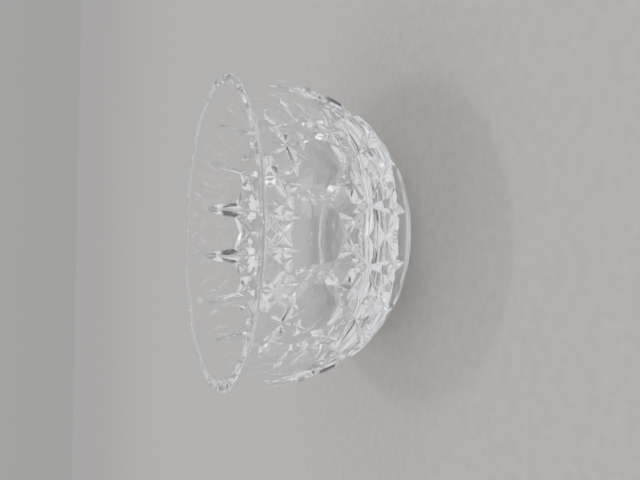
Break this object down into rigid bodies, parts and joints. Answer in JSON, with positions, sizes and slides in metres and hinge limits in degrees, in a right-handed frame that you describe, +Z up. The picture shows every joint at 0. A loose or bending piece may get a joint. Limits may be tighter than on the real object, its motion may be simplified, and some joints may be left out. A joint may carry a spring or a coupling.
{
  "type": "cut glass bowl",
  "caption": "Round footless bowl of clear cut crystal with a flat rim and base, its wall ground with upright cuts over a lattice of leaning cuts. Holds ice, garnish or a small serving.",
  "frame": {"origin": "middle of the flat base, on the surface that the bowl stands on", "axes": "+Z up along the bowl's axis; an upper crossing of the leaning cuts lies on +X and on -Y"},
  "size_m": [0.127, 0.127, 0.072],
  "materials": {
    "crystal": "polished clear crystal"
  },
  "bodies": {
    "root": {"cut_glass_bowl": "crystal"}
  },
  "joints": []
}
